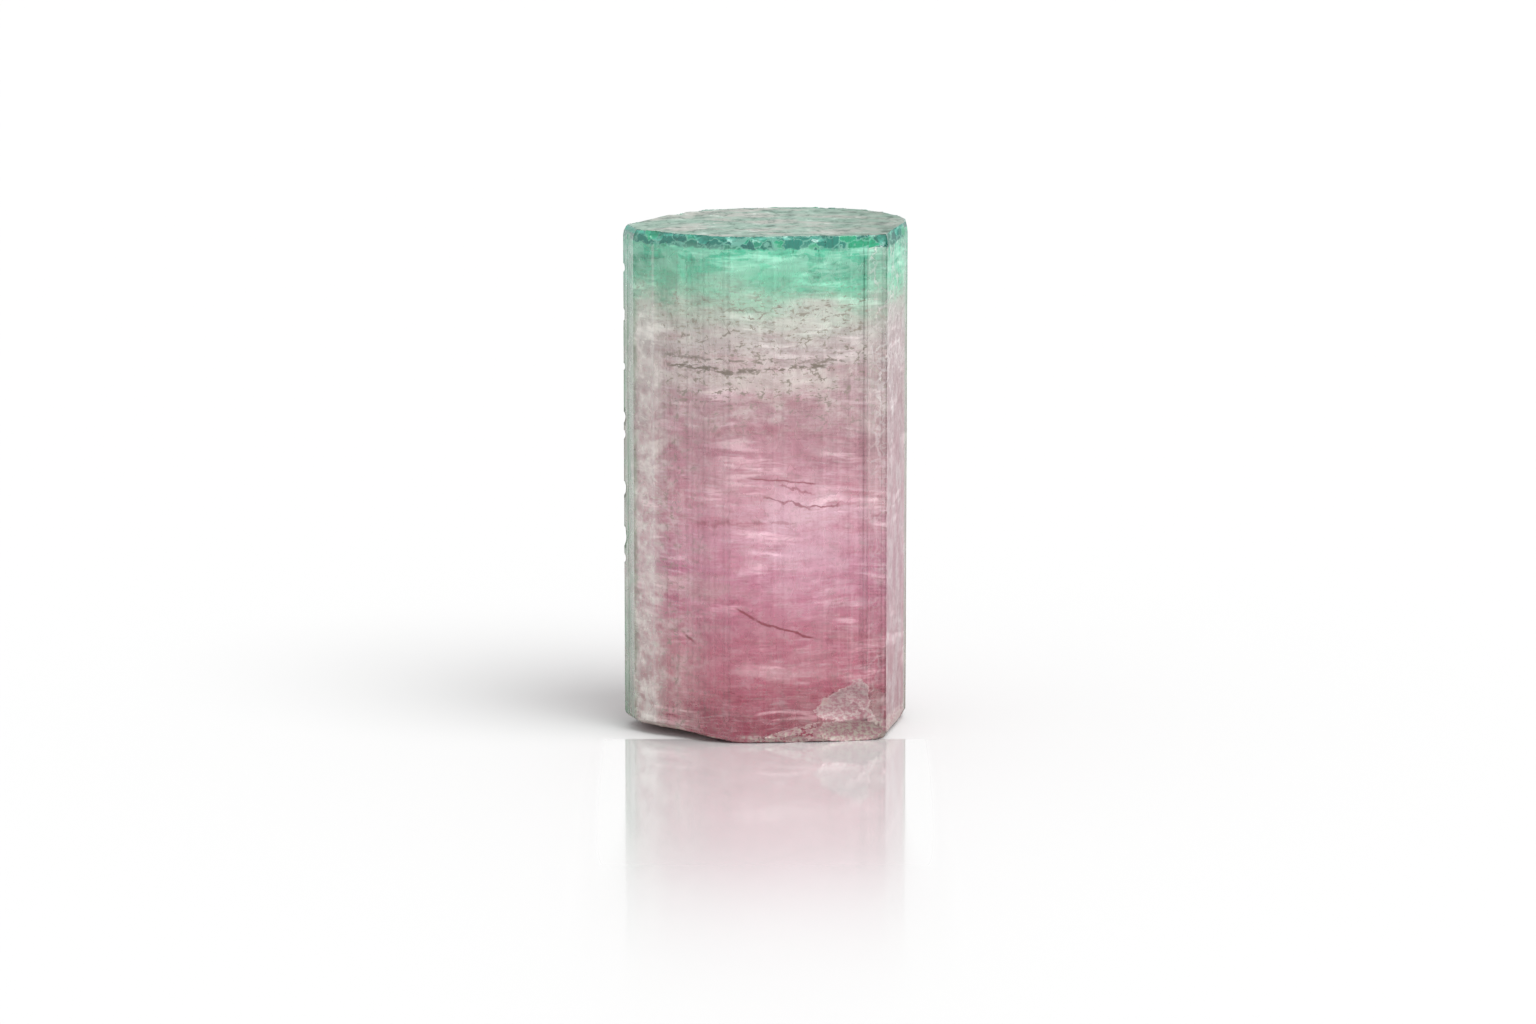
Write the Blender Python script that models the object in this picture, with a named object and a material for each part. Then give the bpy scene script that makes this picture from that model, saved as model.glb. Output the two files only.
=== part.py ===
"""A bicolor tourmaline crystal: one natural prism, standing on its broken base, with its c axis up.

The plan is built the way a crystallographer draws it, from the prism faces that bound it. Each face has a
direction and a distance from the c axis, and neighbouring faces meet in an edge. Growth striations then
step every face in and out a little. The outline is extruded to the crystal's height, the ends are worn
and the chips, nicks and spalls of the real specimen are cut out of the edges.

Origin: the middle of the base. +Z runs up the c axis to the green end, and -Y is the broad front face.
"""

import math
import random

import bmesh
import bpy
from mathutils import Matrix, Vector, noise

MM = 0.001

# Driving dimensions
HEIGHT = 25.46 * MM
WIDTH = 14.24 * MM
DEPTH = 11.5 * MM

# Prism faces: direction of the outward normal in degrees, distance from the c axis, and the width and the
# depth of the growth striations on that face. Directions run anticlockwise from +X, seen from above.
PRISM_FACES = (
    (0, WIDTH / 2, 0.40 * MM, 0.05 * MM),
    (15, 7.20 * MM, 0.42 * MM, 0.07 * MM),
    (30, 7.15 * MM, 0.60 * MM, 0.07 * MM),
    (45, 6.98 * MM, 0.45 * MM, 0.10 * MM),
    (60, 6.72 * MM, 0.42 * MM, 0.12 * MM),
    (75, 6.25 * MM, 0.50 * MM, 0.08 * MM),
    (90, DEPTH / 2, 0.55 * MM, 0.05 * MM),
    (105, 5.52 * MM, 0.42 * MM, 0.10 * MM),
    (120, 5.68 * MM, 0.40 * MM, 0.12 * MM),
    (135, 5.60 * MM, 0.48 * MM, 0.09 * MM),
    (150, 5.75 * MM, 0.75 * MM, 0.05 * MM),
    (180, WIDTH / 2, 0.30 * MM, 0.03 * MM),
    (195, 7.11 * MM, 0.40 * MM, 0.05 * MM),
    (227, 6.62 * MM, 0.60 * MM, 0.04 * MM),
    (240, 6.12 * MM, 0.38 * MM, 0.05 * MM),
    (255, 6.00 * MM, 0.42 * MM, 0.04 * MM),
    (270, DEPTH / 2, 0.48 * MM, 0.03 * MM),
    (275, 5.70 * MM, 0.40 * MM, 0.04 * MM),
    (279, 5.946 * MM, 0.30 * MM, 0.08 * MM),
    (285, 6.353 * MM, 0.30 * MM, 0.10 * MM),
    (347.5, 6.95 * MM, 1.10 * MM, 0.03 * MM),
)
RISER = 0.05 * MM  # the slope between two striations
NARROWEST_STRIP = 3 * RISER
STRIP_JITTER = 0.28  # share of a strip's width that its edges stray
SHALLOWEST_STRIP = 0.15  # share of the face's striation depth
STRIATION_SEED = 11

# Wear at the two ends: how far it reaches along the crystal and how far it draws the surface in. The rim
# is worn most on the left. The base is worn into a slope on two sides, which stand clear of the ground.
RIM_REACH = 0.55 * MM
RIM_WEAR = 0.10 * MM
RIM_WEAR_LEFT = 0.26 * MM
RIM_LEFT, RIM_LEFT_SPREAD = 185, 70  # degrees
BASE_REACH = 0.25 * MM
BASE_WEAR = 0.12 * MM
# Direction and spread in degrees, then the reach and the wear that each slope adds in its middle
BASE_SLOPES = (
    (208, 55, 0.42 * MM, 2.30 * MM),
    (345, 60, 0.35 * MM, 0.20 * MM),
)

# Broken edges: direction in degrees, height of the middle, width, height and depth of each bite. A rim
# chip's height is counted down from the top, and the others' up from the base. A spall is a flat flake
# off a face, so it has a second direction, the one that its face looks in.
RIM_CHIPS = (
    (187, 0.05 * MM, 1.2 * MM, 0.50 * MM, 0.16 * MM),
    (160, 0.00 * MM, 1.4 * MM, 0.40 * MM, 0.26 * MM),
    (144, -0.02 * MM, 1.5 * MM, 0.50 * MM, 0.42 * MM),
    (131, 0.00 * MM, 1.1 * MM, 0.40 * MM, 0.34 * MM),
    (96, -0.05 * MM, 2.2 * MM, 0.50 * MM, 0.26 * MM),
    (64, 0.00 * MM, 1.2 * MM, 0.50 * MM, 0.22 * MM),
    (38, -0.03 * MM, 1.5 * MM, 0.50 * MM, 0.24 * MM),
    (340, 0.10 * MM, 1.1 * MM, 0.80 * MM, 0.16 * MM),
    (318, 0.15 * MM, 0.9 * MM, 1.10 * MM, 0.20 * MM),
    (294, 0.05 * MM, 1.2 * MM, 0.60 * MM, 0.20 * MM),
    (281, 0.00 * MM, 0.9 * MM, 0.50 * MM, 0.22 * MM),
    (268, 0.05 * MM, 1.3 * MM, 0.55 * MM, 0.17 * MM),
    (254, 0.00 * MM, 0.9 * MM, 0.60 * MM, 0.22 * MM),
    (239, 0.15 * MM, 1.0 * MM, 0.70 * MM, 0.24 * MM),
    (217, 0.10 * MM, 1.3 * MM, 0.80 * MM, 0.26 * MM),
)
SIDE_NICKS = (
    (187, 23.25 * MM, 0.60 * MM, 0.50 * MM, 0.13 * MM),
    (186, 20.90 * MM, 0.65 * MM, 0.70 * MM, 0.15 * MM),
    (187, 18.25 * MM, 0.50 * MM, 0.40 * MM, 0.12 * MM),
    (188, 15.70 * MM, 0.70 * MM, 0.70 * MM, 0.16 * MM),
    (187, 14.80 * MM, 0.55 * MM, 0.50 * MM, 0.12 * MM),
    (188, 12.05 * MM, 0.80 * MM, 0.90 * MM, 0.18 * MM),
    (188, 9.60 * MM, 0.85 * MM, 1.20 * MM, 0.19 * MM),
    (187, 8.50 * MM, 0.55 * MM, 0.50 * MM, 0.13 * MM),
    (320, 19.60 * MM, 0.40 * MM, 0.55 * MM, 0.08 * MM),
    (320, 1.75 * MM, 0.45 * MM, 0.50 * MM, 0.12 * MM),
    (24, 8.40 * MM, 1.00 * MM, 2.10 * MM, 0.24 * MM),
    (52, 17.60 * MM, 0.80 * MM, 1.30 * MM, 0.20 * MM),
    (127, 6.20 * MM, 0.90 * MM, 1.70 * MM, 0.24 * MM),
    (111, 20.30 * MM, 0.70 * MM, 1.10 * MM, 0.18 * MM),
)
BASE_CHIPS = (
    (283, 0.10 * MM, 1.7 * MM, 0.60 * MM, 0.16 * MM),
    (271, 0.05 * MM, 1.5 * MM, 0.50 * MM, 0.12 * MM),
    (322, 0.00 * MM, 1.7 * MM, 0.90 * MM, 0.42 * MM),
    (340, 0.00 * MM, 1.9 * MM, 0.70 * MM, 0.24 * MM),
    (356, 0.10 * MM, 2.4 * MM, 1.00 * MM, 0.32 * MM),
    (22, 0.05 * MM, 2.1 * MM, 1.40 * MM, 0.42 * MM),
    (188, 0.05 * MM, 2.0 * MM, 1.10 * MM, 0.34 * MM),
    (216, 0.35 * MM, 1.4 * MM, 0.60 * MM, 0.16 * MM),
    (238, 0.05 * MM, 2.0 * MM, 0.70 * MM, 0.24 * MM),
    (152, 0.10 * MM, 2.4 * MM, 1.60 * MM, 0.40 * MM),
    (118, 0.00 * MM, 1.6 * MM, 0.90 * MM, 0.32 * MM),
    (82, 0.20 * MM, 2.8 * MM, 2.20 * MM, 0.40 * MM),
    (49, 0.00 * MM, 1.5 * MM, 0.80 * MM, 0.30 * MM),
)
SPALLS = (
    (304.0, 279, 1.80 * MM, 3.1 * MM, 2.10 * MM, 0.30 * MM),
    (309.0, 283, 2.20 * MM, 2.3 * MM, 1.80 * MM, 0.26 * MM),
    (308.5, 281, 0.45 * MM, 4.2 * MM, 1.50 * MM, 0.38 * MM),
)
BITE_SUBDIVISIONS = 3
BITE_ROUGHNESS = 0.12  # share of the bite's size
BITE_GRAIN = 2.2  # hummocks across a bite
BITE_BULGE = 1.6  # half the thickness of the lump that bites, in bite depths
BITE_ROUNDNESS = 0.35  # least half thickness, as a share of the bite's width or height

# Heights of the slices that the worn ends bend along
END_SLICES = (0.12, 0.30, 0.60, 1.0)  # shares of the reach of the wear, from the end
BODY_SLICES = 4
MERGE = 0.001 * MM
LEVEL = 0.9  # least upright part of a level face's normal

# The finish
ROSE = (0.58, 0.20, 0.27, 1.0)
CRYSTAL_ROUGHNESS = 0.25
TOURMALINE_IOR = 1.63
CLARITY = 0.6  # share of the light that passes into the crystal


def clear_scene():
    for thing in list(bpy.data.objects):
        bpy.data.objects.remove(thing)


def new_collection(name):
    made = bpy.data.collections.new(name)
    bpy.context.scene.collection.children.link(made)
    return made


def direction(degrees):
    turn = math.radians(degrees)
    return Vector((math.cos(turn), math.sin(turn), 0.0))


def edge_between(face, next_face):
    """Where the lines of two neighbouring faces cross in the plan."""
    degrees, distance = face[:2]
    next_degrees, next_distance = next_face[:2]
    here, there = direction(degrees), direction(next_degrees)
    spread = here.x * there.y - here.y * there.x
    x = (distance * there.y - next_distance * here.y) / spread
    y = (next_distance * here.x - distance * there.x) / spread
    return Vector((x, y, 0.0))


def striated_outline():
    """The plan outline: every face is split into strips that stand a little further in or out."""
    chance = random.Random(STRIATION_SEED)
    corners = [edge_between(face, following) for face, following in zip(PRISM_FACES, PRISM_FACES[1:])]
    corners.append(edge_between(PRISM_FACES[-1], PRISM_FACES[0]))
    outline = []
    for index, (degrees, _, strip_width, strip_depth) in enumerate(PRISM_FACES):
        start, end = corners[index - 1], corners[index]
        length = (end - start).length
        along = (end - start) / length
        inwards = -direction(degrees)
        outline.append(start)
        strips = max(1, round(length / strip_width))
        strays = [chance.uniform(-STRIP_JITTER, STRIP_JITTER) for _ in range(strips + 1)]
        edges = [(step + stray) * length / strips for step, stray in enumerate(strays)]
        edges[0], edges[-1] = RISER, length - RISER
        for low, high in zip(edges, edges[1:]):
            inset = inwards * chance.uniform(SHALLOWEST_STRIP, 1.0) * strip_depth
            if high - low > NARROWEST_STRIP:
                outline.append(start + along * (low + RISER / 2) + inset)
                outline.append(start + along * (high - RISER / 2) + inset)
    return outline


def outline_curve(outline):
    """The outline as a filled flat curve, extruded to the crystal's height."""
    curve = bpy.data.curves.new("crystal_outline", "CURVE")
    curve.dimensions = "2D"
    curve.fill_mode = "BOTH"
    curve.extrude = HEIGHT / 2
    spline = curve.splines.new("POLY")
    spline.points.add(len(outline) - 1)
    for point, place in zip(spline.points, outline):
        point.co = (place.x, place.y, 0.0, 1.0)
    spline.use_cyclic_u = True
    drawn = bpy.data.objects.new("crystal_outline", curve)
    drawn.location = (0.0, 0.0, HEIGHT / 2)
    bpy.context.scene.collection.objects.link(drawn)
    return drawn


def mesh_from_curve(drawn, name, collection):
    """A closed mesh object in place of the extruded curve."""
    bpy.context.view_layer.update()
    evaluated = drawn.evaluated_get(bpy.context.evaluated_depsgraph_get())
    mesh = bpy.data.meshes.new_from_object(evaluated)
    mesh.transform(drawn.matrix_world)
    mesh.name = name
    made = bpy.data.objects.new(name, mesh)
    collection.objects.link(made)
    bpy.data.objects.remove(drawn)
    return made


def lobe(degrees, centre, spread):
    """1 at the centre direction, falling smoothly to 0 at spread degrees from it."""
    apart = abs((degrees - centre + 180) % 360 - 180)
    return 0.5 + 0.5 * math.cos(math.pi * min(1.0, apart / spread))


def wear_at(place):
    """How far the worn ends stand in from the prism faces at this place."""
    degrees = math.degrees(math.atan2(place.y, place.x))
    from_rim = max(0.0, 1.0 - (HEIGHT - place.z) / RIM_REACH)
    base_reach, base = BASE_REACH, BASE_WEAR
    for centre, spread, more_reach, more_wear in BASE_SLOPES:
        base_reach += more_reach * lobe(degrees, centre, spread)
        base += more_wear * lobe(degrees, centre, spread)
    from_base = max(0.0, 1.0 - place.z / base_reach)
    rim = RIM_WEAR + (RIM_WEAR_LEFT - RIM_WEAR) * lobe(degrees, RIM_LEFT, RIM_LEFT_SPREAD)
    return rim * from_rim**2 + base * from_base**2


def slice_heights():
    rim = [HEIGHT - RIM_REACH * share for share in END_SLICES]
    highest_reach = BASE_REACH + max(slope[2] for slope in BASE_SLOPES)
    base = [highest_reach * share for share in END_SLICES]
    body = [HEIGHT * step / (BODY_SLICES + 1) for step in range(1, BODY_SLICES + 1)]
    return base + body + rim


def wear_ends(crystal):
    """Slices the prism across and draws the slices near each end in towards the axis."""
    shaped = bmesh.new()
    shaped.from_mesh(crystal.data)
    bmesh.ops.remove_doubles(shaped, verts=shaped.verts, dist=MERGE)
    caps = [face for face in shaped.faces if abs(face.normal.z) > LEVEL]
    bmesh.ops.dissolve_faces(shaped, faces=caps)  # a cap's old triangles would fold over when it shrinks
    for height in slice_heights():
        bmesh.ops.bisect_plane(
            shaped,
            geom=shaped.verts[:] + shaped.edges[:] + shaped.faces[:],
            plane_co=(0.0, 0.0, height),
            plane_no=(0.0, 0.0, 1.0),
            dist=MERGE,
        )
    for vertex in shaped.verts:
        inwards = -Vector((vertex.co.x, vertex.co.y, 0.0)).normalized()
        vertex.co += inwards * wear_at(vertex.co)
    bmesh.ops.triangulate(shaped, faces=shaped.faces[:])
    bmesh.ops.recalc_face_normals(shaped, faces=shaped.faces)
    shaped.to_mesh(crystal.data)
    shaped.free()


def surface_distance(degrees):
    """How far the prism's surface is from the axis in this direction."""
    reach = []
    for face_degrees, distance, _, _ in PRISM_FACES:
        lean = math.cos(math.radians(degrees - face_degrees))
        if lean > 0.0:
            reach.append(distance / lean)
    return min(reach)


def bite_cutter(name, degrees, facing, height, width, tall, depth, collection):
    """A lump that takes a shell-shaped bite, depth deep, out of the crystal where it faces this way."""
    lump = bmesh.new()
    bmesh.ops.create_icosphere(lump, subdivisions=BITE_SUBDIVISIONS, radius=1.0)
    shift = Vector((degrees, height / MM, 0.0))
    for vertex in lump.verts:
        swell = noise.noise(vertex.co * BITE_GRAIN + shift)
        vertex.co *= 1.0 + BITE_ROUGHNESS * swell
    bulge = max(depth * BITE_BULGE, BITE_ROUNDNESS * min(width, tall))
    size = Matrix.Diagonal((bulge, width / 2, tall / 2, 1.0))
    centre = direction(degrees) * surface_distance(degrees) + direction(facing) * (bulge - depth)
    place = Matrix.Translation(centre + Vector((0.0, 0.0, height)))
    turn = Matrix.Rotation(math.radians(facing), 4, "Z")
    bmesh.ops.transform(lump, matrix=place @ turn @ size, verts=lump.verts)
    mesh = bpy.data.meshes.new(name)
    lump.to_mesh(mesh)
    lump.free()
    cutter = bpy.data.objects.new(name, mesh)
    cutter.hide_render = True
    cutter.display_type = "WIRE"
    collection.objects.link(cutter)
    return cutter


def bite_out(crystal, cutter):
    cut = crystal.modifiers.new(cutter.name, "BOOLEAN")
    cut.operation = "DIFFERENCE"
    cut.solver = "MANIFOLD"  # EXACT leaves open edges where two bites overlap
    cut.object = cutter


def chip_edges(crystal, cutters):
    groups = {"spall": SPALLS}
    groups["side_nick"] = [(degrees, degrees, *rest) for degrees, *rest in SIDE_NICKS]
    groups["base_chip"] = [(degrees, degrees, *rest) for degrees, *rest in BASE_CHIPS]
    groups["rim_chip"] = [(degrees, degrees, HEIGHT - below, *size) for degrees, below, *size in RIM_CHIPS]
    for group, bites in groups.items():
        for number, bite in enumerate(bites, start=1):
            bite_out(crystal, bite_cutter(f"{group}_{number}", *bite, cutters))


def tourmaline_material():
    material = bpy.data.materials.new("tourmaline")
    material.use_nodes = True
    shader = material.node_tree.nodes["Principled BSDF"]
    shader.inputs["Base Color"].default_value = ROSE
    shader.inputs["Roughness"].default_value = CRYSTAL_ROUGHNESS
    shader.inputs["Metallic"].default_value = 0.0
    shader.inputs["IOR"].default_value = TOURMALINE_IOR
    shader.inputs["Transmission Weight"].default_value = CLARITY
    return material


def main():
    clear_scene()
    crystals = new_collection("bicolor_tourmaline_crystal")
    cutters = new_collection("cutters")
    crystal = mesh_from_curve(outline_curve(striated_outline()), "tourmaline_crystal", crystals)
    wear_ends(crystal)
    chip_edges(crystal, cutters)
    crystal.data.materials.clear()
    crystal.data.materials.append(tourmaline_material())


main()
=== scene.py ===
# %% [markdown]
# # A bicolor tourmaline crystal in Blender
#
# The object is one natural crystal: a striated prism, green at its flat top and rose at its broken base.
# The frame gives its exact solid. This lesson dresses that solid. It gives the broken and grown surfaces
# their fine relief, builds a cloudy see-through material whose colour changes with height, and sets up
# the white table and soft light of a product picture.

# %% Load the frame
import math

import bmesh
import bpy
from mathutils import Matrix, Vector, noise
from mathutils.bvhtree import BVHTree


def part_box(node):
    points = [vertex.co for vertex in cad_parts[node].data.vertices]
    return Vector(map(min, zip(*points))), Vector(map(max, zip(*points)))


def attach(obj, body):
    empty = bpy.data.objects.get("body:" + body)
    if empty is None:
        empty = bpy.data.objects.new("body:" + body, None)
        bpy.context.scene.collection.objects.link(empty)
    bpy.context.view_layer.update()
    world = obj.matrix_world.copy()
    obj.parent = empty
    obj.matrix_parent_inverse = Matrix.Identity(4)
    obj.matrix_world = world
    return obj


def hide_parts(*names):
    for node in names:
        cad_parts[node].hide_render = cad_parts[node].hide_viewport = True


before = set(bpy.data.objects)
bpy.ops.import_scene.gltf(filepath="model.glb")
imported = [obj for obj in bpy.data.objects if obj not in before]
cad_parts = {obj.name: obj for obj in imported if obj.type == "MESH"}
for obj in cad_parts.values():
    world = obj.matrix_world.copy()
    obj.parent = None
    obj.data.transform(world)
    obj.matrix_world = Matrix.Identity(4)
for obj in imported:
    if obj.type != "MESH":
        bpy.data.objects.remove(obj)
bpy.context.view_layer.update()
low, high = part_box("tourmaline_crystal")
MM = 0.001
print("crystal from", [round(v / MM, 2) for v in low], "to", [round(v / MM, 2) for v in high], "mm")

# %% [markdown]
# ## The camera
#
# The picture was taken from a little above the crystal with a long lens. The lens could be guessed from
# the crystal's size alone, but the top and base rims curve by different amounts, and that difference
# gives the real distance, so the camera is placed by it.

# %% Place the camera
CAMERA_PLACE = (0.125 * MM, -283.4 * MM, 62.86 * MM)
LOOKS_DOWN = 10.432  # degrees
LENS = 133.87  # on a sensor 36 wide

lens = bpy.data.cameras.new("camera")
lens.lens = LENS
lens.sensor_width = 36.0
lens.clip_start = 10 * MM
lens.clip_end = 10.0
camera = bpy.data.objects.new("camera", lens)
camera.location = CAMERA_PLACE
camera.rotation_euler = (math.radians(90 - LOOKS_DOWN), 0.0, 0.0)
bpy.context.scene.collection.objects.link(camera)
bpy.context.scene.camera = camera

# %% [markdown]
# ## A clean copy of the solid
#
# The frame's mesh is loose triangles, so its copy is merged first. Flat areas are then dissolved to one
# face each, because the slices that follow should make even squares and not slivers.

# %% Copy the solid and merge it
FLAT_ANGLE = math.radians(0.3)
TOUCHING = 0.0005 * MM

shape = bmesh.new()
shape.from_mesh(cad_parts["tourmaline_crystal"].data)
bmesh.ops.remove_doubles(shape, verts=shape.verts, dist=TOUCHING)
solid = BVHTree.FromBMesh(shape)
bmesh.ops.dissolve_limit(shape, angle_limit=FLAT_ANGLE, verts=shape.verts, edges=shape.edges)
print("merged copy:", len(shape.faces), "faces")

# %% [markdown]
# ## How far the unbroken prism reaches
#
# A chip is a place where the surface lies deeper than the prism once reached. Looking for steep faces
# would also find the growth steps, so the reach is measured instead: rays go out from the c axis at a few
# heights, and the longest one in each direction is the unbroken prism, because no chip is at every height.

# %% Measure the reach all round
RAY_HEIGHTS = [high.z * share for share in (0.26, 0.42, 0.50, 0.66, 0.86)]
RAYS = 720


def ray_length(ray, height):
    turn = math.tau * ray / RAYS
    hit = solid.ray_cast(Vector((0.0, 0.0, height)), Vector((math.cos(turn), math.sin(turn), 0.0)))
    return hit[3] or 0.0


reach = [max(ray_length(ray, height) for height in RAY_HEIGHTS) for ray in range(RAYS)]
print("reach from", round(min(reach) / MM, 2), "to", round(max(reach) / MM, 2), "mm")


def depth_lost(place):
    """How deep this place lies under the surface of the unbroken prism and its two flat ends."""
    ray = round(math.atan2(place.y, place.x) / math.tau * RAYS)
    unbroken = min(reach[(ray + step) % RAYS] for step in (-1, 0, 1))
    across = unbroken - math.hypot(place.x, place.y)
    return max(0.0, min(across, high.z - place.z, place.z - low.z))


# %% [markdown]
# ## Slices for the relief
#
# Fine relief needs vertices to carry it. Subdividing every face alike would spend most of them on the
# narrow growth steps, so the mesh is cut along planes: upright ones a seventh of a millimetre apart round
# the walls, the same ones crossed over the two ends, and level ones up the walls.

# %% Slice the ends and the walls
COLUMN_STEP = 0.14 * MM
ROW_STEP = 0.25 * MM
LEVEL = 0.9


def once(items):
    """The items in order, each of them once."""
    return list(dict.fromkeys(items))


def slice_at(faces, place, normal):
    """Cuts these faces along a plane, and gives back the faces they have become."""
    edges = once(edge for face in faces for edge in face.edges)
    verts = once(vert for face in faces for vert in face.verts)
    cut = bmesh.ops.bisect_plane(shape, geom=faces + edges + verts, plane_co=place, plane_no=normal, dist=TOUCHING)
    return [part for part in cut["geom"] if isinstance(part, bmesh.types.BMFace)]


def slice_along(faces, axis, step):
    """Slices these faces every step along an axis, dropping the ones that are wholly behind the plane."""
    normal = Vector((0.0, 0.0, 0.0))
    normal[axis] = 1.0
    for count in range(1, int((high[axis] - low[axis]) / step) + 1):
        place = low[axis] + count * step
        ahead = [face for face in faces if max(vert.co[axis] for vert in face.verts) > place]
        if ahead:
            faces = slice_at(ahead, normal * place, normal)


def facing(kind):
    """The faces of the ends, of the broad walls or of the side walls, by the way they look."""
    found = []
    for face in shape.faces:
        x_lean, y_lean, z_lean = (abs(lean) for lean in face.normal)
        looks = "ends" if z_lean >= LEVEL else "broad walls" if y_lean >= x_lean else "side walls"
        if looks == kind:
            found.append(face)
    return found


slice_along(facing("ends"), 0, COLUMN_STEP)
slice_along(facing("ends"), 1, COLUMN_STEP)
slice_along(facing("broad walls"), 0, COLUMN_STEP)
slice_along(facing("side walls"), 1, COLUMN_STEP)
slice_along(shape.faces[:], 2, ROW_STEP)
print("sliced:", len(shape.faces), "faces")

# %% [markdown]
# ## Finer triangles where the crystal is broken
#
# A chip is only a few faces wide after the slices, too few for the ripples of a glassy break. Only the
# broken places get another cut, so the count stays low elsewhere.

# %% Cut the broken places finer
BREAK_STARTS = 0.06 * MM
FINEST_BREAK = 0.11 * MM

broken_faces = [face for face in shape.faces if depth_lost(face.calc_center_median()) > BREAK_STARTS]
long_edges = once(e for face in broken_faces for e in face.edges if e.calc_length() > FINEST_BREAK)
bmesh.ops.subdivide_edges(shape, edges=long_edges, cuts=1, use_grid_fill=True)
bmesh.ops.triangulate(shape, faces=shape.faces[:])
print("broken:", len(broken_faces), "faces, triangles in all:", len(shape.faces))

# %% [markdown]
# ## The relief itself
#
# Three things roughen a tourmaline: growth lines that run straight up the walls, the hummocks of an
# etched end, and the ripples of a chip. Each is a noise with its own stretch. All of it goes inwards, so
# the crystal keeps the frame's size. The depth that is lost to chips is stored on the mesh, because the
# material needs to know where the surface is broken.

# %% Press the relief into the mesh
LINE_WIDTH = 0.30 * MM
LINE_LENGTH = 9.0 * MM
LINE_DEPTH = 0.016 * MM
SWELL_SIZE = 1.6 * MM
SWELL_DEPTH = 0.018 * MM
HUMMOCK_SIZE = 0.85 * MM
HUMMOCK_DEPTH = 0.075 * MM
PIT_SIZE = 0.38 * MM
PIT_DEPTH = 0.040 * MM
RIPPLE_SIZE = 0.42 * MM
RIPPLE_DEPTH = 0.050 * MM


def rough(place, size, seed):
    """A noise from 0 to 1 with hummocks of this size, given as one length or as three."""
    spread = Vector(size) if isinstance(size, tuple) else Vector((size, size, size))
    spot = Vector((place.x / spread.x, place.y / spread.y, place.z / spread.z)) + Vector((seed, 0.0, 0.0))
    return min(1.0, max(0.0, 0.5 + 0.5 * noise.noise(spot)))


def wall_relief(place):
    lines = rough(place, (LINE_WIDTH, LINE_WIDTH, LINE_LENGTH), 3.0)
    swell = rough(place, (SWELL_SIZE, SWELL_SIZE, 3 * SWELL_SIZE), 17.0)
    return LINE_DEPTH * lines + SWELL_DEPTH * swell


def end_relief(place):
    hummocks = rough(place, (HUMMOCK_SIZE * 1.8, HUMMOCK_SIZE, HUMMOCK_SIZE), 31.0)
    pits = rough(place, PIT_SIZE, 47.0)
    return HUMMOCK_DEPTH * hummocks + PIT_DEPTH * pits**3


def break_relief(place):
    ripple = abs(noise.noise(place / RIPPLE_SIZE))
    crumbs = rough(place, RIPPLE_SIZE / 3, 71.0)
    return RIPPLE_DEPTH * (1.0 - ripple) * 0.5 + RIPPLE_DEPTH * crumbs * 0.6


SOFTENED_TO = 5.6 * MM
SOFTENED_FROM, SOFTENED_UP_TO = 1.2 * MM, 24.6 * MM
SOFTENINGS = 3

steps = []
for vert in shape.verts:
    if abs(vert.co.x) < SOFTENED_TO and SOFTENED_FROM < vert.co.z < SOFTENED_UP_TO:
        if depth_lost(vert.co) < BREAK_STARTS:
            steps.append(vert)
for _ in range(SOFTENINGS):
    bmesh.ops.smooth_vert(shape, verts=steps, factor=0.5, use_axis_x=False, use_axis_y=True, use_axis_z=False)
shape.normal_update()
broken = shape.verts.layers.float.new("broken")
ended = shape.verts.layers.float.new("ended")
for vert in shape.verts:
    vert[broken] = depth_lost(vert.co) / MM
    vert[ended] = max(0.0, abs(vert.normal.z) * 2 - 1)
presses = []
for vert in shape.verts:
    at_end = vert[ended]
    at_break = min(1.0, max(0.0, (vert[broken] - 0.06) / 0.08))
    press = (1 - at_end) * wall_relief(vert.co) + at_end * end_relief(vert.co)
    press = (1 - at_break) * press + at_break * break_relief(vert.co)
    presses.append(vert.normal * press)
for vert, press in zip(shape.verts, presses):
    vert.co -= press
print("broken vertices:", sum(vert[broken] > 0.12 for vert in shape.verts))

# %% Finish the mesh
SHARP_FROM = math.radians(70)

mesh = bpy.data.meshes.new("bicolor_crystal")
shape.to_mesh(mesh)
shape.free()
mesh.shade_smooth()
mesh.set_sharp_from_angle(angle=SHARP_FROM)
crystal = bpy.data.objects.new("bicolor_crystal", mesh)
bpy.context.scene.collection.objects.link(crystal)
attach(crystal, "root")
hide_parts("tourmaline_crystal")
print("crystal mesh:", len(mesh.polygons), "triangles")

# %% [markdown]
# ## A small kit for the material
#
# The crystal's colour depends on where a point is: how high, how far round, how near an edge. Wiring each
# test by hand makes an unreadable tree, so a few short helpers add one node each. A position comes in as
# millimetres from the middle of the base, because every number then means a real size.

# %% Start the material and its helpers
tourmaline = bpy.data.materials.new("tourmaline")
tourmaline.use_nodes = True
nodes = tourmaline.node_tree.nodes
links = tourmaline.node_tree.links
shader = nodes["Principled BSDF"]
crystal.data.materials.append(tourmaline)


def put(socket, value):
    """Links a node's output to a socket, or sets the socket to a plain value."""
    if isinstance(value, bpy.types.NodeSocket):
        links.new(value, socket)
    elif isinstance(value, tuple) and len(value) == 3 and len(socket.default_value) == 4:
        socket.default_value = (*value, 1.0)
    else:
        socket.default_value = value


def maths(operation, first, second=0.0):
    node = nodes.new("ShaderNodeMath")
    node.operation = operation
    put(node.inputs[0], first)
    put(node.inputs[1], second)
    return node.outputs[0]


def times(first, second):
    return maths("MULTIPLY", first, second)


def plus(first, second):
    return maths("ADD", first, second)


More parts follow.
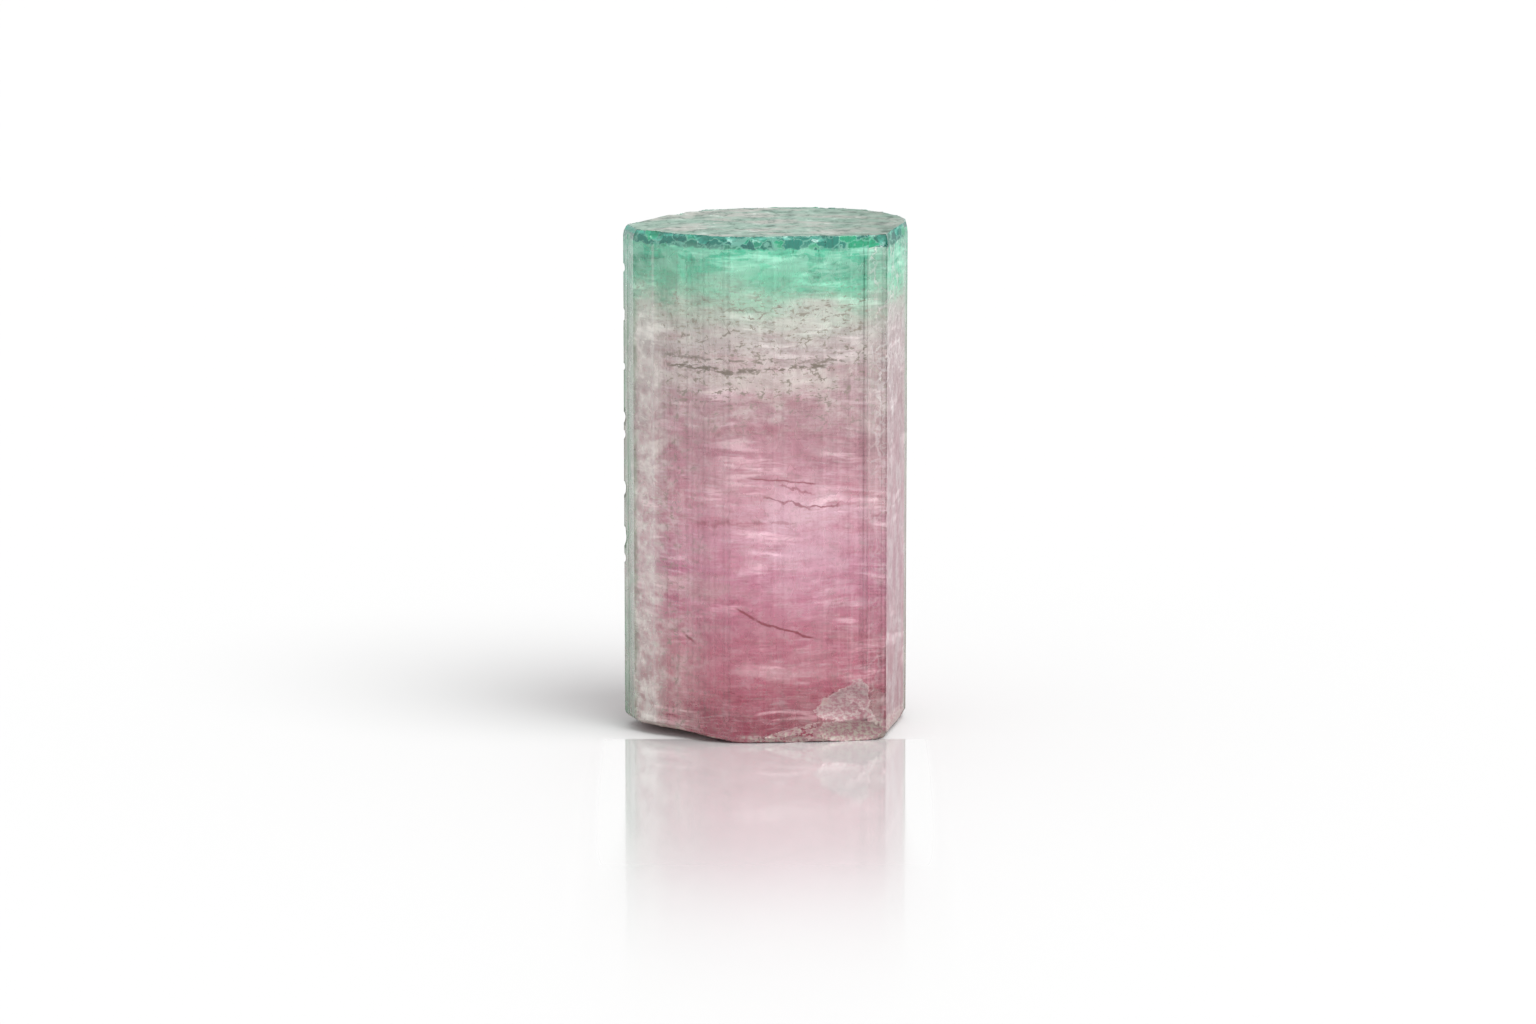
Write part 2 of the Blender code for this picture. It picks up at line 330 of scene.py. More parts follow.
def ramp_up(value, start, end, bottom=0.0, top=1.0):
    """Smoothly from bottom at start to top at end, which may also lie below start."""
    node = nodes.new("ShaderNodeMapRange")
    node.interpolation_type = "SMOOTHSTEP"
    put(node.inputs["Value"], value)
    put(node.inputs["From Min"], start)
    put(node.inputs["From Max"], end)
    put(node.inputs["To Min"], bottom)
    put(node.inputs["To Max"], top)
    return node.outputs[0]


def window(value, start, end, soft):
    """1 between start and end, falling to 0 over a soft edge on both sides."""
    return times(ramp_up(value, start - soft, start + soft), ramp_up(value, end + soft, end - soft))


def blend(share, first, second):
    node = nodes.new("ShaderNodeMix")
    node.data_type = "RGBA"
    put(node.inputs[0], share)
    put(node.inputs[6], first)
    put(node.inputs[7], second)
    return node.outputs[2]


def mapped(place, scale, seed):
    node = nodes.new("ShaderNodeMapping")
    put(node.inputs["Vector"], place)
    node.inputs["Scale"].default_value = scale
    node.inputs["Location"].default_value = (seed, seed / 2, seed / 3)
    return node.outputs[0]


coords = nodes.new("ShaderNodeTexCoord")
straight = mapped(coords.outputs["Object"], (1 / MM, 1 / MM, 1 / MM), 0.0)
split = nodes.new("ShaderNodeSeparateXYZ")
put(split.inputs[0], straight)
x, y, z = split.outputs


def cloud(size, detail, seed, roughness=0.5, place=straight):
    """A noise from 0 to 1 about 0.5, with lumps of this size in millimetres along X, Y and Z."""
    node = nodes.new("ShaderNodeTexNoise")
    put(node.inputs["Vector"], mapped(place, [1 / length for length in size], seed))
    node.inputs["Scale"].default_value = 1.0
    node.inputs["Detail"].default_value = detail
    node.inputs["Roughness"].default_value = roughness
    return node.outputs[0]


def cells(size, seed, feature, place=straight):
    """A cell pattern with cells of this size in millimetres along X, Y and Z."""
    node = nodes.new("ShaderNodeTexVoronoi")
    node.feature = feature
    put(node.inputs["Vector"], mapped(place, [1 / length for length in size], seed))
    node.inputs["Scale"].default_value = 1.0
    return node


def moved(along_x, along_y, along_z):
    """The place in millimetres, moved by these amounts."""
    node = nodes.new("ShaderNodeCombineXYZ")
    for socket, start, move in zip(node.inputs, (x, y, z), (along_x, along_y, along_z)):
        put(socket, plus(start, move))
    return node.outputs[0]


# %% [markdown]
# ## Colour zones
#
# The melt changed while the crystal grew upwards, so its colour changes with height: rose at the base,
# lighter pink, nearly colourless, then green. The zones are not ruled lines. Their borders sway, so the
# height is shifted a little by two noises before it picks its colour.

# %% Colour by height
ZONES = (
    (0.0, (0.37, 0.02, 0.07)),
    (1.2, (0.43, 0.04, 0.10)),
    (3.0, (0.55, 0.12, 0.20)),
    (5.0, (0.60, 0.18, 0.27)),
    (7.0, (0.61, 0.185, 0.30)),
    (9.0, (0.67, 0.255, 0.38)),
    (11.0, (0.73, 0.35, 0.45)),
    (12.6, (0.69, 0.33, 0.41)),
    (14.4, (0.55, 0.23, 0.30)),
    (16.2, (0.55, 0.29, 0.34)),
    (18.2, (0.65, 0.47, 0.49)),
    (20.2, (0.68, 0.62, 0.59)),
    (21.6, (0.55, 0.72, 0.57)),
    (22.6, (0.33, 0.80, 0.54)),
    (23.6, (0.11, 0.76, 0.45)),
    (24.5, (0.05, 0.54, 0.32)),
)
TALLEST_ZONE = high.z / MM

sway = times(plus(cloud((7.0, 7.0, 5.0), 2.0, 2.0), -0.5), 2.2)
wisps = times(plus(cloud((2.6, 2.6, 0.6), 4.0, 9.0, 0.6), -0.5), 2.4)
zone_height = plus(z, plus(sway, wisps))
zones = nodes.new("ShaderNodeValToRGB")
put(zones.inputs[0], times(zone_height, 1 / TALLEST_ZONE))
for index, (zone_start, zone_colour) in enumerate(ZONES):
    place = zone_start / TALLEST_ZONE
    stop = zones.color_ramp.elements[index] if index < 2 else zones.color_ramp.elements.new(place)
    stop.position = place
    stop.color = (*zone_colour, 1.0)
colour = zones.outputs[0]

# %% [markdown]
# ## Veils and bands
#
# The inside is full of level veils: thin sheets of healed cracks, seen almost edge on, that look like
# pale or deep streaks. A noise that is flat and wide gives sheets at all heights at once. Ruled level
# streaks would look like layers of paint, so the place is bent up and down before it meets the noise. A
# lumpy noise thins the veils out so that some parts are clear.

# %% Two bent places, one for the layers and one for broken lines
bend = times(plus(cloud((6.0, 6.0, 4.0), 3.0, 21.0), -0.5), 1.2)
wavy = moved(0.0, 0.0, bend)
strays = times(plus(cloud((0.45, 0.45, 0.45), 3.0, 95.0), -0.5), 0.9)
crooked = moved(strays, strays, strays)


def darker(share, base, tint):
    """The base colour multiplied by a tint, by this share."""
    node = nodes.new("ShaderNodeMix")
    node.data_type = "RGBA"
    node.blend_type = "MULTIPLY"
    put(node.inputs[0], share)
    put(node.inputs[6], base)
    put(node.inputs[7], tint)
    return node.outputs[2]


# %% Pale veils and deep bands
MILK_WHITE = (0.94, 0.88, 0.88)
MILK_GREEN = (0.74, 0.95, 0.84)
DEEP_ROSE = (0.84, 0.55, 0.62)
DEEP_GREY = (0.70, 0.58, 0.60)

cloudiness = ramp_up(cloud((3.0, 3.0, 1.8), 3.0, 27.0), 0.40, 0.60)
broad_noise = cloud((3.4, 3.4, 0.45), 3.0, 33.0, 0.6, wavy)
fine_noise = cloud((1.3, 1.3, 0.12), 3.0, 39.0, 0.65, wavy)
deep_noise = cloud((5.0, 5.0, 0.75), 3.0, 45.0, 0.6, wavy)
thin_noise = cloud((0.9, 0.9, 0.07), 2.0, 51.0, 0.6, wavy)
broad_veils = times(ramp_up(broad_noise, 0.48, 0.66), cloudiness)
fine_veils = times(ramp_up(fine_noise, 0.50, 0.68), plus(times(cloudiness, 0.6), 0.4))
milk = blend(0.42, colour, blend(ramp_up(z, 20.8, 22.6), MILK_WHITE, MILK_GREEN))
colour = darker(ramp_up(deep_noise, 0.52, 0.34, 0.0, 0.60), colour, DEEP_ROSE)
colour = darker(ramp_up(fine_noise, 0.50, 0.32, 0.0, 0.55), colour, DEEP_GREY)
colour = darker(ramp_up(thin_noise, 0.46, 0.30, 0.0, 0.50), colour, DEEP_GREY)
colour = blend(times(broad_veils, 0.60), colour, milk)
colour = blend(times(fine_veils, 0.65), colour, milk)

# %% [markdown]
# ## Patches
#
# Some clouds are big enough to know the crystal by: the pale glow right of the middle, the milky spot
# under the green, the deep rose patch low on the left. The glow is painted light, for light from behind
# shining through the middle. Each is a soft ellipse whose edge is broken up by a noise, so that it does
# not look stamped on.

# %% Lay in the big patches
# Middle x and z, half width and half height in mm, colour and strength
PATCHES = (
    (2.4, 21.7, 1.5, 0.9, (0.80, 0.82, 0.74), 0.65),
    (-0.8, 18.30, 5.2, 0.60, (0.80, 0.75, 0.68), 0.55),
    # The next three rows are the painted glow: light from behind, shining through, painted as paler pink.
    (2.2, 10.4, 2.8, 3.4, (0.94, 0.58, 0.70), 0.45),
    (1.6, 11.6, 2.0, 1.0, (0.96, 0.66, 0.76), 0.45),
    (1.8, 9.6, 1.8, 0.5, (0.94, 0.64, 0.76), 0.45),
    (0.6, 14.6, 1.7, 0.9, (0.76, 0.36, 0.46), 0.30),
    (-2.2, 6.0, 2.6, 1.1, (0.46, 0.11, 0.19), 0.50),
    (-1.2, 4.3, 3.4, 0.7, (0.52, 0.12, 0.20), 0.35),
    (0.6, 3.55, 2.0, 0.4, (0.82, 0.50, 0.55), 0.45),
    (-4.4, 3.0, 1.3, 2.6, (0.74, 0.44, 0.46), 0.45),
    (-3.6, 7.9, 2.4, 0.6, (0.62, 0.46, 0.42), 0.35),
    (5.45, 1.5, 0.45, 1.7, (0.46, 0.33, 0.31), 0.60),
    (-5.0, 23.5, 0.65, 1.6, (0.04, 0.40, 0.22), 0.60),
    (-3.6, 23.7, 0.40, 1.1, (0.04, 0.42, 0.24), 0.40),
    (-1.9, 23.4, 1.4, 0.6, (0.50, 0.80, 0.62), 0.45),
    (0.5, 23.4, 1.9, 0.9, (0.18, 0.74, 0.46), 0.50),
    (4.6, 23.2, 0.6, 1.3, (0.06, 0.46, 0.28), 0.45),
)

in_front = ramp_up(y, 0.0, -1.5)
ragged = times(plus(cloud((1.6, 1.6, 0.5), 4.0, 25.0, 0.65), -0.5), 3.2)
for middle_x, middle_z, half_width, half_height, patch_colour, strength in PATCHES:
    across = times(plus(x, -middle_x), 1 / half_width)
    upwards = times(plus(z, -middle_z), 1 / half_height)
    away = plus(maths("SQRT", plus(times(across, across), times(upwards, upwards))), ragged)
    patch = times(ramp_up(away, 1.35, 0.45, 0.0, strength), in_front)
    colour = blend(patch, colour, patch_colour)

# %% [markdown]
# ## Grey-green haze, and painted shade on the left
#
# Tiny healed cracks make dull grey-green patches, most of them down the left side and in the pale middle
# zone. On the left the grey is partly painted shade, for the front that turns duller towards the side. A
# noise makes the patches and a few soft windows keep them to those parts.

# %% Haze where the small cracks are dense, and painted shade on the left
HAZE_AND_SHADE = (0.57, 0.56, 0.50)

# Towards the left the grey is partly painted shade.
haze_and_shade_left = ramp_up(x, -1.0, -5.6, 0.0, 0.9)
haze_middle = window(z, 15.5, 21.5, 1.6)
haze_and_shade_reach = maths("MAXIMUM", maths("MAXIMUM", haze_and_shade_left, times(haze_middle, 0.75)), 0.22)
haze_and_shade_reach = times(haze_and_shade_reach, ramp_up(z, 24.0, 21.5, 0.35, 1.0))
haze_noise = cloud((1.3, 1.3, 0.9), 4.0, 57.0, 0.72, wavy)
haze_and_shade = times(ramp_up(haze_noise, 0.40, 0.68), haze_and_shade_reach)
colour = blend(times(haze_and_shade, 0.75), colour, HAZE_AND_SHADE)

# %% [markdown]
# ## Mottling, painted light on growth lines, and flecks
#
# Close up, no part of the crystal has one even colour. Small clouds lie in it, the growth lines on the
# walls catch the light as thin upright streaks, painted here as streaks of shade and highlight, and the
# tiny cracks hold specks of tan clay.

# %% Mottling, upright streaks of painted light and shade, and tan flecks
SHADE = (0.62, 0.50, 0.53)
LIGHT = (0.92, 0.88, 0.86)
CLAY = (0.19, 0.16, 0.12)

mottle = cloud((0.7, 0.7, 0.45), 4.0, 63.0, 0.7)
colour = darker(ramp_up(mottle, 0.50, 0.30, 0.0, 0.50), colour, SHADE)
colour = blend(ramp_up(mottle, 0.52, 0.74, 0.0, 0.50), colour, milk)
# Painted shade and painted highlight: thin upright streaks where growth lines catch the light, most at the sides.
painted_streaks = cloud((0.16, 0.16, 5.0), 2.0, 71.0, 0.6)
streak_light_share = times(ramp_up(maths("ABSOLUTE", x), 2.5, 5.5, 0.10, 0.32), ramp_up(x, 6.2, 5.8, 0.25, 1.0))
streak_light_share = times(streak_light_share, ramp_up(z, 22.0, 19.0, 0.45, 1.0))
colour = darker(times(ramp_up(painted_streaks, 0.50, 0.34), streak_light_share), colour, SHADE)
colour = blend(times(ramp_up(painted_streaks, 0.52, 0.68), streak_light_share), colour, milk)
grain = cloud((0.11, 0.11, 0.09), 1.0, 73.0, 0.7)
colour = darker(ramp_up(grain, 0.52, 0.30, 0.0, 0.30), colour, SHADE)
fleck_noise = cloud((0.34, 0.34, 0.12), 3.0, 79.0, 0.6, wavy)
fleck_zone = maths("MAXIMUM", haze_and_shade_reach, window(z, 16.5, 22.8, 1.0))
flecks = times(ramp_up(fleck_noise, 0.605, 0.635), plus(times(fleck_zone, 0.9), 0.1))
craze = cells((1.1, 1.1, 0.55), 11.0, "DISTANCE_TO_EDGE", crooked).outputs["Distance"]
hairlines = ramp_up(craze, 0.07, 0.03)
kept = ramp_up(cloud((0.42, 0.42, 0.30), 2.0, 81.0), 0.54, 0.58)
flecks = maths("MAXIMUM", flecks, times(times(hairlines, kept), plus(times(fleck_zone, 0.9), 0.1)))
colour = blend(times(flecks, 0.85), colour, CLAY)

# %% [markdown]
# ## Healed cracks
#
# A few cracks are long enough to see one by one. Each is drawn as a line between two places on the front,
# a little wavy, and dashed where a healed crack has closed again. They are given as numbers here, because
# each one is a real feature of this crystal and no noise would put it there.

# %% Draw the cracks
CRACK_ROSE = (0.20, 0.02, 0.04)
CRACK_GREY = (0.15, 0.12, 0.09)
# From x and z to x and z in mm, how far it wavers, its half width, its strength and whether it is dashed
CRACKS = (
    (-5.1, 19.42, -0.5, 19.22, 0.5, 0.060, 0.80, True),
    (-0.5, 19.22, 3.9, 19.28, 0.5, 0.055, 0.75, True),
    (-4.9, 18.98, -1.5, 18.72, 0.5, 0.080, 0.95, True),
    (-1.5, 18.72, 3.0, 19.05, 0.5, 0.078, 0.95, True),
    (-0.8, 13.40, 2.5, 13.12, 0.2, 0.032, 0.85, False),
    (0.6, 13.00, 2.4, 12.66, 0.7, 0.030, 0.65, False),
    (-0.1, 12.52, 2.2, 11.85, 0.7, 0.034, 0.75, False),
    (2.1, 11.95, 3.7, 12.05, 0.8, 0.034, 0.75, False),
    (-1.4, 6.82, -0.5, 6.25, 0.3, 0.050, 1.00, False),
    (-0.5, 6.25, 2.4, 5.35, 0.4, 0.050, 1.00, False),
    (-4.0, 5.32, -3.5, 5.03, 0.3, 0.052, 0.95, False),
    (-2.0, 2.62, -0.9, 2.38, 0.5, 0.042, 0.75, True),
    (-2.2, 21.75, 0.9, 21.85, 0.9, 0.040, 0.65, True),
    (-3.9, 22.90, -2.6, 22.30, 1.2, 0.042, 0.65, True),
    (-3.6, 11.10, 1.5, 11.15, 0.9, 0.085, 0.50, True),
    (5.3, 11.25, 6.9, 11.95, 0.8, 0.050, 0.60, False),
    (6.1, 19.10, 6.5, 19.40, 0.3, 0.050, 0.60, False),
)

waver = plus(cloud((0.7, 0.7, 0.7), 3.0, 83.0), -0.5)
dashes = ramp_up(cloud((0.38, 0.38, 0.14), 2.0, 87.0), 0.44, 0.50)


def crack(start_x, start_z, end_x, end_z, wavers, half_width, strength, dashed):
    slope = (end_z - start_z) / (end_x - start_x)
    line = plus(plus(times(x, slope), start_z - slope * start_x), times(waver, wavers))
    away = maths("ABSOLUTE", maths("SUBTRACT", z, line))
    shown = times(ramp_up(away, half_width * 1.9, half_width * 0.7), window(x, start_x, end_x, 0.2))
    shown = times(shown, strength)
    return times(shown, dashes) if dashed else shown


cracks = 0.0
for measures in CRACKS:
    cracks = maths("MAXIMUM", cracks, crack(*measures))
cracks = times(cracks, in_front)
colour = blend(cracks, colour, blend(ramp_up(z, 13.5, 17.0), CRACK_ROSE, CRACK_GREY))

# %% [markdown]
# ## The green rind, and painted light on the side faces
#
# The crystal grew outwards too, and its last skin is green-grey. It shows at the far left, and along the
# far right edge its colour is painted as a thin dark line, for the dark reflection of that grazing edge.
# The narrow faces beside it are paler than the broad front, because the light comes straight through a
# corner; that paleness is painted light, and so is a bright line along the left strip's edge.

# %% Rind, and painted light on the side faces
RIND = (0.16, 0.32, 0.19)
RIND_TOP = (0.02, 0.34, 0.20)
PAINTED_FACE_LIGHT = (0.88, 0.86, 0.80)
PAINTED_LAVENDER_DEEP = (0.38, 0.27, 0.29)
PAINTED_LAVENDER_PALE = (0.58, 0.50, 0.51)

patchy = cloud((0.9, 0.9, 1.8), 3.0, 91.0, 0.6)
frost = cloud((0.30, 0.30, 0.45), 3.0, 93.0, 0.7)
under_green = ramp_up(z, 22.8, 20.8)
# Painted light: the left strip is paler where light comes straight through the corner.
left_strip = times(ramp_up(x, -4.7, -5.9), in_front)
face_light_cover = plus(ramp_up(patchy, 0.35, 0.65, 0.10, 0.40), ramp_up(frost, 0.35, 0.65, 0.10, 0.45))
face_light_cover = plus(face_light_cover, ramp_up(z, 9.0, 4.0, 0.0, 0.15))
colour = blend(times(left_strip, times(under_green, face_light_cover)), colour, PAINTED_FACE_LIGHT)
# Painted highlight: a thin bright line along the edge of the left strip.
left_edge_highlight = times(window(x, -5.62, -5.50, 0.03), in_front)
colour = blend(times(left_edge_highlight, 0.20), colour, LIGHT)
# Painted light on the right face: lavender, paler or deeper in patches.
right_face = times(ramp_up(x, 5.95, 6.12), in_front)
right_face_light = blend(ramp_up(plus(times(patchy, 0.5), times(frost, 0.5)), 0.42, 0.60), PAINTED_LAVENDER_DEEP, PAINTED_LAVENDER_PALE)
right_face_light_share = times(times(right_face, under_green), ramp_up(patchy, 0.35, 0.65, 0.60, 0.85))
colour = blend(right_face_light_share, colour, right_face_light)
# Painted light: the strips beside the right face are paler higher up.
right_strip = times(window(x, 5.00, 5.98, 0.08), in_front)
colour = blend(times(right_strip, ramp_up(z, 9.0, 15.0, 0.0, 0.22)), colour, PAINTED_FACE_LIGHT)
crinkle = cells((0.50, 0.50, 0.85), 19.0, "DISTANCE_TO_EDGE", crooked).outputs["Distance"]
crinkled = times(times(ramp_up(x, 4.9, 5.3), in_front), ramp_up(patchy, 0.42, 0.58, 0.25, 1.0))
crinkled = times(crinkled, ramp_up(z, 10.0, 20.0, 0.30, 1.0))
colour = darker(times(crinkled, ramp_up(crinkle, 0.30, 0.12, 0.0, 0.45)), colour, SHADE)
colour = blend(times(crinkled, ramp_up(crinkle, 0.10, 0.03, 0.0, 0.60)), colour, LIGHT)
rind_colour = blend(ramp_up(z, 20.0, 24.0), RIND, RIND_TOP)
rind_edge = plus(x, times(plus(patchy, -0.5), 1.2))
left_rind = times(ramp_up(rind_edge, -6.25, -6.75), ramp_up(patchy, 0.36, 0.60, 0.60, 0.98))
colour = blend(left_rind, colour, rind_colour)
# Painted dark reflection: a thin line in the rind's colour along the far right edge.
right_edge_dark_reflection = ramp_up(x, 6.92, 7.02, 0.0, 0.6)
colour = blend(right_edge_dark_reflection, colour, rind_colour)

# %% [markdown]
# ## The teal cap
#
# The last half millimetre of growth is a much deeper green, like a lid. It is broken into small glassy
# scales, some emerald and some nearly black-green, with pale lines where two scales part. A cell pattern
# gives each scale its own shade, and the distance to the nearest border of a cell draws the lines.

# %% Deep green cap with scales
CAP_STARTS = 24.80
TEAL = (0.0, 0.17, 0.125)
EMERALD = (0.0, 0.30, 0.145)
BLACK_GREEN = (0.0, 0.10, 0.085)
SCALE_EDGE = (0.24, 0.62, 0.48)
LOWER_SCALE = (0.44, 0.82, 0.64)

ended_share = nodes.new("ShaderNodeAttribute")
ended_share.attribute_name = "ended"
on_end = ended_share.outputs["Fac"]
scale_size = (0.90, 0.90, 0.42)
scale_shade = nodes.new("ShaderNodeSeparateColor")
put(scale_shade.inputs[0], cells(scale_size, 5.0, "F1", crooked).outputs["Color"])
scale_border = cells(scale_size, 5.0, "DISTANCE_TO_EDGE", crooked).outputs["Distance"]
scale_lines = ramp_up(scale_border, 0.09, 0.02)
jagged = times(plus(cloud((0.5, 0.5, 0.5), 3.0, 97.0), -0.5), 0.45)
cap = ramp_up(plus(z, jagged), CAP_STARTS - 0.05, CAP_STARTS + 0.05)
cap_colour = blend(ramp_up(scale_shade.outputs[0], 0.50, 0.62), TEAL, EMERALD)
cap_colour = blend(ramp_up(scale_shade.outputs[2], 0.52, 0.66, 0.0, 0.8), cap_colour, BLACK_GREEN)
pale_scales = ramp_up(scale_shade.outputs[1], 0.88, 0.96, 0.0, 0.45)
cap_colour = blend(maths("MAXIMUM", pale_scales, times(scale_lines, 0.45)), cap_colour, SCALE_EDGE)
colour = blend(cap, colour, cap_colour)
lower_scales = times(window(z, 23.6, CAP_STARTS, 0.35), ramp_up(scale_shade.outputs[1], 0.62, 0.80, 0.0, 0.40))
lower_lines = times(window(z, 22.6, CAP_STARTS, 0.35), times(scale_lines, ramp_up(patchy, 0.45, 0.60, 0.0, 0.40)))
colour = blend(maths("MAXIMUM", lower_scales, lower_lines), colour, LOWER_SCALE)

# %% [markdown]
# ## The two ends
#
# The top was etched dull, so it scatters white light and shows the green below only faintly, with pinkish
# clouds. The mesh stored how level each point is, which tells the ends from the walls at the same height.

# %% Frosted top and base
TOP_COLOUR = (0.16, 0.26, 0.205)
TOP_CLOUD = (0.27, 0.28, 0.25)
TOP_SHADE = (0.34, 0.47, 0.43)
TOP_LIGHT = (0.66, 0.76, 0.70)
TOP_LINE = (0.42, 0.54, 0.50)
BASE_COLOUR = (0.34, 0.08, 0.12)

top_cloud = ramp_up(cloud((2.6, 1.3, 1.3), 3.0, 101.0, 0.6), 0.42, 0.60)
top_mottle = cloud((0.9, 0.9, 0.4), 4.0, 107.0, 0.7)
top_colour = blend(top_cloud, TOP_COLOUR, TOP_CLOUD)
top_colour = darker(ramp_up(top_mottle, 0.50, 0.34), top_colour, TOP_SHADE)
top_colour = blend(ramp_up(top_mottle, 0.54, 0.70, 0.0, 0.35), top_colour, TOP_LIGHT)
top_lines = times(ramp_up(craze, 0.09, 0.03), ramp_up(cloud((0.6, 0.6, 0.6), 2.0, 109.0), 0.46, 0.56))
top_colour = darker(top_lines, top_colour, TOP_LINE)
top_colour = darker(ramp_up(x, 1.5, 5.5, 0.0, 0.9), top_colour, (0.66, 0.74, 0.70))
end_colour = blend(ramp_up(z, 5.0, 20.0), BASE_COLOUR, top_colour)
frosted_end = ramp_up(on_end, 0.55, 0.95)
colour = blend(frosted_end, colour, end_colour)

# %% [markdown]
# ## Broken places
#
# Chips are frosted with tiny steps and crumbs, so they look whitish and dull, and near the base they hold
# tan clay. The lost depth that was stored on the mesh places them exactly. A flake's rim is paler than its
# floor, and a fine noise keeps some bare spots of crystal colour.

# %% Whitish chips
CHIP_WHITE = (0.74, 0.70, 0.66)
CHIP_TEAL = (0.07, 0.38, 0.29)
CHIP_TAN = (0.47, 0.43, 0.36)
GRAIN_PALE = (0.48, 0.38, 0.37)
GRAIN_DEEP = (0.36, 0.17, 0.20)
GRAIN_RIM = (0.64, 0.56, 0.52)

lost = nodes.new("ShaderNodeAttribute")
lost.attribute_name = "broken"
lost_depth = lost.outputs["Fac"]
chipped = ramp_up(lost_depth, 0.045, 0.085)
crumbs = cloud((0.28, 0.28, 0.20), 3.0, 113.0, 0.7)
chips = times(chipped, ramp_up(crumbs, 0.38, 0.60, 0.25, 0.95))
chip_colour = blend(ramp_up(z, 0.8, 4.5), CHIP_TAN, CHIP_WHITE)
chip_colour = blend(ramp_up(z, 22.5, 24.5), chip_colour, CHIP_TEAL)
colour = blend(times(chips, ramp_up(lost_depth, 0.10, 0.22, 0.80, 0.50)), colour, chip_colour)

# %% Grains of the big flake and of the broken edge under it
# Middle x and z, half width and half height in mm
FLAKE = (
    (3.30, 1.60, 0.80, 0.42),
    (3.95, 1.85, 0.80, 0.72),
    (4.60, 2.15, 0.60, 0.95),
    (4.55, 1.15, 0.90, 0.55),
    (4.50, 0.45, 2.00, 0.75),
)


def soft_ellipse(middle_x, middle_z, half_width, half_height, jitter):
    across = times(plus(x, -middle_x), 1 / half_width)
    upwards = times(plus(z, -middle_z), 1 / half_height)
    away = plus(maths("SQRT", plus(times(across, across), times(upwards, upwards))), jitter)
    return ramp_up(away, 1.08, 0.92)


flake = 0.0
for measures in FLAKE:
    flake = maths("MAXIMUM", flake, soft_ellipse(*measures, times(ragged, 0.5)))
crumbs_reach = ramp_up(x, -0.5, 3.0, 0.45, 1.10)
edge_crumbs = times(ramp_up(maths("SUBTRACT", z, crumbs_reach), 0.0, -0.15), ramp_up(x, -1.4, -0.8))
edge_crumbs = times(edge_crumbs, ramp_up(crumbs, 0.44, 0.54))
flake = times(maths("MAXIMUM", flake, edge_crumbs), in_front)
grains = cloud((0.20, 0.20, 0.13), 2.0, 117.0, 0.75)
grain_colour = blend(ramp_up(grains, 0.42, 0.58), GRAIN_DEEP, blend(ramp_up(z, 1.3, 0.7), GRAIN_PALE, CHIP_TAN))
colour = blend(times(flake, 0.85), colour, grain_colour)
flake_rim = times(times(flake, maths("SUBTRACT", 1.0, flake)), 1.6)
colour = blend(flake_rim, colour, GRAIN_RIM)
put(shader.inputs["Base Color"], colour)

# %% [markdown]
# ## Clarity, gloss and fine bump
#
# Light passes through half of the crystal, less where there are veils and least where it is frosted. The
# index of refraction is tourmaline's own. The growth faces are glassy but what lies under them is cloudy,
# so a thin smooth coat gives the gloss and a duller base keeps the cloudiness. Bump carries only what is
# finer than the mesh.

# %% Transmission, roughness and bump
TOURMALINE_IOR = 1.63
CLEAR = 0.60
frosting = maths("MAXIMUM", frosted_end, maths("MAXIMUM", times(chips, 0.9), flake))
milkiness = maths("MAXIMUM", maths("MAXIMUM", broad_veils, haze_and_shade), maths("MAXIMUM", cracks, flecks))
clarity = maths("SUBTRACT", CLEAR, times(milkiness, 0.35))
clarity = maths("SUBTRACT", clarity, times(frosting, 0.30))
clarity = maths("SUBTRACT", clarity, times(right_face, 0.15))
clarity = maths("SUBTRACT", clarity, times(ramp_up(z, 23.8, 24.9), 0.25))
put(shader.inputs["Transmission Weight"], maths("MAXIMUM", clarity, 0.0))
gloss_noise = cloud((0.6, 0.6, 1.2), 1.0, 127.0)
dullness = plus(ramp_up(gloss_noise, 0.35, 0.70, 0.20, 0.32), times(maths("MAXIMUM", frosting, right_face), 0.25))
put(shader.inputs["Roughness"], dullness)
put(shader.inputs["Coat Weight"], ramp_up(maths("MAXIMUM", frosting, right_face), 0.0, 0.6, 0.25, 0.0))
shader.inputs["Coat Roughness"].default_value = 0.10
shader.inputs["IOR"].default_value = TOURMALINE_IOR

pits = cloud((0.10, 0.10, 0.10), 1.0, 131.0, 0.7)
lines = cloud((0.07, 0.07, 3.0), 1.0, 137.0)
dull_share = maths("MAXIMUM", frosted_end, chipped)
bump_height = plus(times(pits, plus(times(dull_share, 1.2), 0.35)), times(lines, 0.6))
bump_height = plus(bump_height, times(times(grains, chipped), 2.0))
bump = nodes.new("ShaderNodeBump")
bump.inputs["Strength"].default_value = 0.35
bump.inputs["Distance"].default_value = 0.02 * MM
put(bump.inputs["Height"], bump_height)
put(shader.inputs["Normal"], bump.outputs[0])
print("material:", len(nodes), "nodes")

# %% [markdown]
# ## The table
#
# The crystal stands on glossy white board. Its reflection is clear at the base and gone about three
# crystal widths in front of it, while the shadow beside it lies on dull board. So the polish is full in
# front of the crystal only, and thins out forwards and to both sides.

# %% Make the floor
FLOOR_HALF = 1.5
FLOOR_WHITE = (0.555, 0.555, 0.555)
POLISH_FULL, POLISH_GONE = -8 * MM, -58 * MM
POLISH_STARTS, POLISH_SOFT, POLISH_HALF_WIDTH, POLISH_FADE = -4.4 * MM, 0.5 * MM, 7.4 * MM, 1.4 * MM
SMOOTH, DULL = 0.06, 0.60

